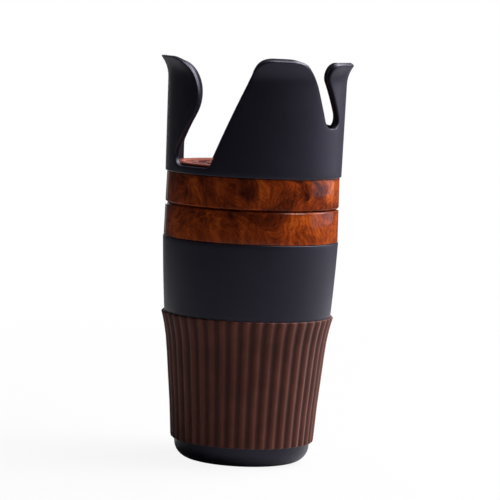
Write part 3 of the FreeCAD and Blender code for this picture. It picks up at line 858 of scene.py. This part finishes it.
@dataclass
class Crown:
    """The four-petalled crown: a sheet cut along the petal edge, with a rounded rim."""

    arc: float = 43.0
    height: float = 55.3
    waist_drop: float = 24.5
    notch: float = 3.5
    ledge: float = 13.2
    shallow: tuple[Corner, ...] = (Corner(52.6, 24.1, 3.6), Corner(72.0, 24.1, 7.4))
    foot_radius: float = 42.7
    flare_start: float = 44.7
    straight_radius: float = 43.25
    flare_radius: float = 15.903
    wall: float = 2.4
    lip_rise: float = 1.25
    rise_passes: int = 3
    left_lip_share: float = 0.15
    back_drop: float = 1.7
    floor_top: float = 1.8
    floor: float = 2.4
    floor_corner: float = 0.8
    foot_round: float = 0.5
    bend_stretches: int = 4
    neck_radius: float = 40.6
    edge_round: float = 0.55
    rim_stretches: int = 5
    edge_step: float = 0.9
    edge_slack: float = 1.3
    grid: float = 2.0
    grid_clearance: float = 0.45
    weld: float = 2e-3
    bosses: Bosses = Bosses()
    boss_sink: float = 0.1
    boss_clearance: float = 0.02
    pivot_boss: Bosses = Bosses(circle=32.0, radius=5.4, angles=(0,))
    foot_z: float = 139.8
    neck_low: float = 127.4

    def corners(self) -> list[Corner]:
        """Corners of the petal edge, from the middle of the left petal round to it.

        Returns:
            The corners in order, with the rear ones past 90 degrees.
        """
        left, right, top = -90.0, 90.0, self.height
        left_edge, left_rear_edge, right_edge = left + 49.8, left + 49.2, right - 43.7
        waist, notch = top - self.waist_drop, self.notch
        front = [
            Corner(left, top, 4.0), Corner(left_edge, top - 0.3, 18.3),
            Corner(left_edge, waist, 5.6), Corner(-69.6, notch, 10.0), Corner(-30.0, notch, 1.9),
            Corner(0.4, top - 0.3, 7.0), Corner(36.6, top - 0.3, 12.8), *self.shallow,
            Corner(right_edge, top - 1.1, 9.0), Corner(right, top - 1.1, 4.0),
        ]
        rear = [Corner(180 - right_edge, top - 2.6, 9.0)]
        rear += [Corner(180 - c.angle, c.height, c.round) for c in reversed(self.shallow)]
        rear += [
            Corner(180 - 36.6, top - self.back_drop, 12.8),
            Corner(180 - 0.4, top - self.back_drop, 7.0),
            Corner(210.0, notch, 1.9), Corner(238.6, notch, 1.5), Corner(238.6, self.ledge, 1.4),
            Corner(180 - left_rear_edge, waist, 5.6),
            Corner(180 - left_rear_edge, top - 4.4, 14.2),
        ]
        return front + rear

    def neighbours(self, path: list[Vector]) -> list[tuple[Vector, Vector, Vector]]:
        """Each point of a closed unrolled path between the ones beside it.

        Args:
            path: (arc length, height) points over one full turn.

        Returns:
            The point before, the point and the point after, for each.
        """
        turn = Vector((FULL_TURN * self.arc, 0))
        before = [path[-1] - turn] + path[:-1]
        return list(zip(before, path, path[1:] + [path[0] + turn]))

    def outline(self) -> list[Vector]:
        """The petal edge with its corners rounded, as even points.

        Returns:
            (arc length, height) points over one full turn.
        """
        per_degree = math.radians(1) * self.arc
        corners = self.corners()
        spots = [Vector((c.angle * per_degree, c.height)) for c in corners]
        path: list[Vector] = []
        for corner, spot in zip(corners, self.neighbours(spots)):
            path += round_corner(*spot, corner.round, self.edge_step)
        even: list[Vector] = []
        for _, here, after in self.neighbours(path):
            longest = self.edge_step * self.edge_slack
            count = max(1, math.ceil((after - here).length / longest))
            even += [here.lerp(after, k / count) for k in range(count)]
        return even

    def outer_radius(self, height: float) -> float:
        """Radius of the outside.

        Args:
            height: Height over the foot, in millimetres.

        Returns:
            The radius there.
        """
        if height <= self.flare_start:
            share = height / self.flare_start
            return self.foot_radius + share * (self.straight_radius - self.foot_radius)
        turn = math.asin(min(1.0, (height - self.flare_start) / self.flare_radius))
        return self.straight_radius + self.flare_radius * (1 - math.cos(turn))

    def inner_radius(self, height: float) -> float:
        """Radius of the inside.

        Args:
            height: Height over the foot, in millimetres.

        Returns:
            The radius there.
        """
        if height <= self.flare_start:
            share = (height - self.floor_top) / (self.flare_start - self.floor_top)
            return self.foot_radius - self.wall + share * (self.straight_radius - self.foot_radius)
        bend = self.flare_radius + self.wall
        turn = math.asin(min(1.0, (height - self.flare_start) / bend))
        return self.straight_radius + self.flare_radius - bend * math.cos(turn)

    def rise(self, arc_length: float, height: float) -> float:
        """How much higher the inside's edge is than the outside's at a place.

        Args:
            arc_length: Place round the crown, unrolled, from the front.
            height: Height over the foot on the outside.

        Returns:
            The rise, in millimetres.
        """
        share = (height - self.flare_start) / (self.height - self.back_drop - self.flare_start)
        share = max(0.0, min(1.0, share))
        leftness = max(0.0, -math.sin(arc_length / self.arc))
        share *= share * (3 - 2 * share) * (1 - (1 - self.left_lip_share) * leftness)
        lip = self.outer_radius(self.height)
        lift = 0.0
        for _ in range(self.rise_passes):
            lift = self.lip_rise / self.wall * (lip - self.inner_radius(height + lift)) * share
        return lift

    def wall_point(self, arc_length: float, height: float, depth: float) -> Vector:
        """A point in the wall.

        Args:
            arc_length: Place round the crown, unrolled, from the front.
            height: Height over the foot on the outside.
            depth: 0 on the outside and 1 on the inside.

        Returns:
            The point, in millimetres.
        """
        outer = Vector((self.outer_radius(height), height))
        lift = self.rise(arc_length, height)
        inner = Vector((self.inner_radius(height + lift), height + lift))
        radius, level = outer.lerp(inner, depth)
        turn = arc_length / self.arc
        return Vector((radius * math.sin(turn), -radius * math.cos(turn), self.foot_z + level))

    def sheet(
        self, bm: Mesh, outline: list[Vector], bottom: float, depth: float
    ) -> dict[int, Vert]:
        """Fills one face of the wall between the petal edge and a level.

        Args:
            bm: The mesh to add to.
            outline: The edge's points, moved in by the rim's round.
            bottom: Level of the sheet's lower edge over the foot.
            depth: 0 for the outside of the wall and 1 for the inside.

        Returns:
            The edge's vertices by their place in the outline.
        """
        start = outline[0]
        end = start + Vector((FULL_TURN * self.arc, 0))
        rows = max(2, round((start.y - bottom) / self.grid))
        levels = [start.y + (bottom - start.y) * k / rows for k in range(1, rows)]
        columns = round((end.x - start.x) / self.grid)
        across = [start.x + (end.x - start.x) * k / columns for k in range(columns + 1)]
        right_side = [Vector((end.x, z)) for z in levels]
        floor_line = [Vector((x, bottom)) for x in reversed(across)]
        left_side = [Vector((start.x, z)) for z in reversed(levels)]
        border = outline + [end] + right_side + floor_line + left_side
        heights = [bottom + self.grid * k for k in range(1, math.ceil(self.height / self.grid))]
        inside = [
            Vector((x, z))
            for x in across[1:-1]
            for z in heights
            if clear_inside(Vector((x, z)), border, self.grid * self.grid_clearance)
        ]
        loop = list(range(len(border)))
        points, _, faces, sources, _, _ = delaunay_2d_cdt(
            border + inside, [], [loop], FILL_INSIDE, FILL_CLOSENESS
        )
        verts = [bm.verts.new(self.wall_point(p.x, p.y, depth)) for p in points]
        for face in faces:
            bm.faces.new([verts[i] for i in face])
        return {
            index: vert
            for vert, origin in zip(verts, sources)
            for index in origin
            if index < len(outline)
        }

    def build(self, finish: Material) -> Piece:
        """Builds the crown.

        Args:
            finish: The soft-touch material.

        Returns:
            The piece.
        """
        bm = bmesh.new()
        bm.verts.layers.int.new("place")
        outline = self.outline()
        runs = [(after - before).normalized() for before, _, after in self.neighbours(outline)]
        out_ways = [Vector((-run.y, run.x)) for run in runs]
        inset = [p - w * self.edge_round for p, w in zip(outline, out_ways)]
        front = self.sheet(bm, inset, self.foot_round, 0)
        self.sheet(bm, inset, self.floor_top + self.floor_corner, 1)
        self.sweep_rim(bm, front, inset, out_ways)
        self.close_bottom(bm, inset[0].x / self.arc)
        bmesh.ops.remove_doubles(bm, verts=bm.verts, dist=self.weld)
        bmesh.ops.recalc_face_normals(bm, faces=bm.faces)
        top = self.foot_z + self.floor_top - self.floor + self.boss_sink
        depth = top - self.neck_low - self.boss_clearance
        for bosses in (self.bosses, self.pivot_boss):
            bosses.add(bm, top - depth / 2, depth)
        return present(bm, "dressed_crown", Body.UPPER, Slot.SOFT_TOUCH, finish, "crown")

    def sweep_rim(
        self, bm: Mesh, front: dict[int, Vert], inset: list[Vector], out_ways: list[Vector]
    ) -> None:
        """Extrudes the sheet's edge over the rounded rim to the inside.

        Args:
            bm: The mesh.
            front: The outer sheet's edge vertices.
            inset: Their unrolled places.
            out_ways: The way out of the sheet at each.
        """
        place_of = bm.verts.layers.int["place"]
        verts = [front[i] for i in range(len(inset))]
        for i, vert in enumerate(verts):
            vert[place_of] = i
        loop = [bm.edges.get(pair) for pair in zip(verts, verts[1:])]
        closing = bm.verts.new(verts[0].co)
        closing[place_of] = 0
        loop.append(bm.edges.new((verts[-1], closing)))
        share = self.edge_round / self.wall
        bend = quarter(self.rim_stretches)
        stations = [(sine, share * (1 - cosine)) for sine, cosine in bend]
        stations += [(cosine, 1 - share * (1 - sine)) for sine, cosine in [(0.0, 1.0), *bend]]
        for proud, depth in stations:
            verts, loop = extrude_ring(bm, loop)
            for vert in verts:
                i = vert[place_of]
                spot = inset[i] + out_ways[i] * (self.edge_round * proud)
                vert.co = self.wall_point(spot.x, spot.y, depth)

    def close_bottom(self, bm: Mesh, start: float) -> None:
        """Turns the foot, the neck and the floor under the wall, ready to weld to it.

        Args:
            bm: The mesh.
            start: Turn at which the wall's own lower edge starts, in radians.
        """
        steps = round(FULL_TURN * self.arc / self.grid)
        neck_inner = self.neck_radius - self.wall
        bends = quarter(self.bend_stretches)
        low, below = self.neck_low - self.foot_z, self.floor_top - self.floor
        under: Profile = [(self.outer_radius(self.foot_round), self.foot_round)]
        under += [
            (self.foot_radius - self.foot_round * (1 - cosine), self.foot_round * (1 - sine))
            for sine, cosine in bends
        ]
        under += [(self.neck_radius, 0), (self.neck_radius, low), (neck_inner, low)]
        under += [(neck_inner, below), (0, below)]
        bend, inner = self.floor_corner, self.inner_radius(self.floor_top)
        above: Profile = [(self.inner_radius(self.floor_top + bend), self.floor_top + bend)]
        above += [
            (inner - bend * (1 - cosine), self.floor_top + bend * (1 - sine))
            for sine, cosine in bends
        ]
        above.append((0, self.floor_top))
        for profile in (under, above):
            verts = [
                bm.verts.new((r * math.sin(start), -r * math.cos(start), self.foot_z + z))
                for r, z in profile
            ]
            edges = [bm.edges.new(pair) for pair in zip(verts, verts[1:])]
            bmesh.ops.spin(bm, geom=verts + edges, steps=steps, **AXIS)


def round_corner(
    before: Vector, here: Vector, after: Vector, tangent: float, step: float
) -> list[Vector]:
    """Points round one corner of a path.

    Args:
        before: The path's corner before this one.
        here: This corner.
        after: The corner after it.
        tangent: Distance from the corner to where its round starts.
        step: Distance between points on the round.

    Returns:
        The points from one tangent point to the other.
    """
    back = (before - here).normalized()
    on = (after - here).normalized()
    half = back.angle(on) / 2
    radius = tangent * math.tan(half)
    centre = here + (back + on).normalized() * (tangent / math.cos(half))
    start = here + back * tangent - centre
    end = here + on * tangent - centre
    a0, a1 = math.atan2(start.y, start.x), math.atan2(end.y, end.x)
    sweep = (a1 - a0 + math.pi) % FULL_TURN - math.pi
    count = max(3, round(abs(sweep) * radius / step))
    turns = [a0 + sweep * k / count for k in range(count + 1)]
    return [centre + Vector((math.cos(a), math.sin(a))) * radius for a in turns]


def clear_inside(point: Vector, border: list[Vector], margin: float) -> bool:
    """Whether a point lies inside a closed border and clear of it.

    Args:
        point: The point to test.
        border: The border's corners.
        margin: Least distance to the border's corners.

    Returns:
        True if it is inside and clear.
    """
    inside = False
    for a, b in zip(border, border[1:] + border[:1]):
        if (a - point).length < margin:
            return False
        if (a.y > point.y) != (b.y > point.y):
            if point.x < (b.x - a.x) * (point.y - a.y) / (b.y - a.y) + a.x:
                inside = not inside
    return inside


@dataclass
class Hardware:
    """The inner plates, the pivot's pieces and the screws, shown as built in CAD."""

    finishes: dict[Slot, Material]
    nodes: tuple[tuple[Slot, tuple[str, ...]], ...] = (
        (Slot.INNER, ("lower_rim", "swing_base")),
        (Slot.STEEL, ("rim_screw_1", "rim_screw_2", "rim_screw_3")),
        (Slot.STEEL, ("base_screw_1", "base_screw_2", "base_screw_3")),
        (Slot.STEEL, ("pivot_screw", "flat_washer", "spring_washer")),
        (Slot.ACETAL, ("pivot_bush", "friction_washer")),
        (Slot.BRASS, ("pivot_insert",)),
    )

    def dress(self) -> list[Piece]:
        """Gives each CAD node its finish.

        Returns:
            The dressed nodes.
        """
        pieces = []
        for slot, names in self.nodes:
            for piece in (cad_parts[name] for name in names):
                piece.data.materials.clear()
                piece.data.materials.append(self.finishes[slot])
                pieces.append(piece)
        return pieces


@dataclass(frozen=True)
class Softbox:
    """A rectangular soft light: its place and size in metres, power in watts and colour."""

    name: str
    spot: Spot
    size: Pair
    power: float
    colour: Colour = WHITE

    def add(self, aim: Vector) -> None:
        """Adds the light.

        Args:
            aim: The point that it faces.
        """
        data = bpy.data.lights.new(self.name, "AREA")
        data.shape = "RECTANGLE"
        data.size, data.size_y = self.size
        data.energy = self.power
        data.color = self.colour
        light = bpy.data.objects.new(self.name, data)
        light.location = self.spot
        way = aim - Vector(self.spot)
        light.rotation_euler = way.to_track_quat("-Z", "Y").to_euler()
        bpy.context.scene.collection.objects.link(light)


@dataclass
class Studio:
    """Pale floor, soft light from the right, and the camera."""

    camera_spot: Spot = (0.0, -1.3, 0.2195)
    aim: Spot = (0.0, 0.0, 0.1023)
    roll: float = math.radians(2.58)
    lens: float = 193.2
    sensor: float = 36.0
    far_clip: float = 20.0
    light_aim: Spot = (0, 0, 0.11)
    world_colour: Colour = (0.9, 0.92, 1.0)
    world_strength: float = 0.06
    floor_radius: float = 0.6
    floor_facets: int = 64
    floor_colour: Colour = (0.48, 0.48, 0.48)
    floor_white: Pair = (0.9, 1.0)
    fade_start: float = 0.04
    softboxes: tuple[Softbox, ...] = (
        Softbox("key_right", (0.85, -0.15, 0.85), (0.7, 0.7), 12.0, (1.0, 0.98, 0.96)),
        Softbox("side_rear", (1.0, 0.36, 0.60), (1.2, 1.2), 7.6, (0.90, 0.86, 1.0)),
        Softbox("top_rear", (0.5, 0.45, 0.80), (0.35, 0.5), 5.0),
        Softbox("top_strip", (0.30, 0.04, 0.95), (0.22, 0.8), 9.0),
        Softbox("strip_left", (-0.45, 1.1, 0.35), (0.12, 0.9), 0.25, (0.96, 0.95, 1.0)),
        Softbox("rear_low", (-0.08, 1.3, 0.24), (0.6, 0.12), 1.8),
    )

    def add_camera(self) -> None:
        """Adds the camera at the photograph's viewing angle."""
        data = bpy.data.cameras.new("view")
        data.lens = self.lens
        data.sensor_width = self.sensor
        data.clip_end = self.far_clip
        camera = bpy.data.objects.new("view", data)
        spot = Vector(self.camera_spot)
        turn = (Vector(self.aim) - spot).to_track_quat("-Z", "Y").to_matrix().to_4x4()
        camera.matrix_world = Matrix.Translation(spot) @ turn @ Matrix.Rotation(self.roll, 4, "Z")
        bpy.context.scene.collection.objects.link(camera)
        bpy.context.scene.camera = camera

    def add_world(self) -> None:
        """Adds a dim surrounding light that the camera sees as white."""
        world = bpy.data.worlds.new("studio")
        bpy.context.scene.world = world
        world.use_nodes = True
        tree = NodeTree(world.node_tree)
        dim = tree.add("Background", Color=(*self.world_colour, 1), Strength=self.world_strength)
        white = tree.add("Background", Color=(*WHITE, 1), Strength=1.0)
        rays = tree.add("LightPath").outputs["Is Camera Ray"]
        mix = tree.add("MixShader", rays, dim.outputs["Background"], white.outputs["Background"])
        tree.add("OutputWorld", mix.outputs["Shader"])

    def add_floor(self) -> None:
        """Adds the pale floor, which the camera sees as nearly white."""
        bm = bmesh.new()
        bmesh.ops.create_circle(
            bm, cap_ends=True, segments=self.floor_facets, radius=self.floor_radius
        )
        mesh = bpy.data.meshes.new("floor")
        bm.to_mesh(mesh)
        bm.free()
        floor = bpy.data.objects.new("floor", mesh)
        bpy.context.scene.collection.objects.link(floor)
        material = bpy.data.materials.new("pale_floor")
        material.use_nodes = True
        tree = NodeTree(material.node_tree)
        away = tree.vector("LENGTH", tree.add("TexCoord").outputs["Object"])["Value"]
        near, far = self.floor_white
        fade = tree.span(
            away, From_Min=self.fade_start, From_Max=self.floor_radius, To_Min=near, To_Max=far
        )
        rays = tree.add("LightPath").outputs["Is Camera Ray"]
        share = tree.maths("MULTIPLY", rays, fade)
        diffuse = tree.add("BsdfDiffuse", Color=(*self.floor_colour, 1)).outputs["BSDF"]
        glow = tree.add("Emission", Color=(*WHITE, 1)).outputs["Emission"]
        mix = tree.add("MixShader", share, diffuse, glow)
        tree.add("OutputMaterial", mix.outputs["Shader"])
        mesh.materials.append(material)

    def build(self) -> None:
        """Sets up the view, the lights and the floor."""
        self.add_camera()
        self.add_world()
        self.add_floor()
        for softbox in self.softboxes:
            softbox.add(Vector(self.light_aim))
        bpy.context.scene.view_settings.view_transform = "Standard"


def main() -> None:
    """Builds every piece of the holder, then the studio."""
    logging.basicConfig(level=logging.INFO, format="%(name)s %(message)s")
    finishes = Finishes()
    rings = TrimRings()
    pieces = [
        LowerCup().build(finishes.soft_touch),
        GripSleeve().build(finishes.silicone),
        rings.build_lower(finishes.lower_burl),
        rings.build_upper(finishes.upper_burl),
        RidgedMat("lower_mat", Body.LOWER, 3).build(finishes.mats["lower_mat"]),
        RidgedMat("crown_mat", Body.UPPER, 4).build(finishes.mats["crown_mat"]),
        Crown().build(finishes.soft_touch),
    ]
    pieces += Hardware(finishes.inner).dress()
    for piece in pieces:
        log.info("%s: %d faces", piece.name, len(piece.data.polygons))
    Studio().build()


if __name__ == "__main__":
    main()
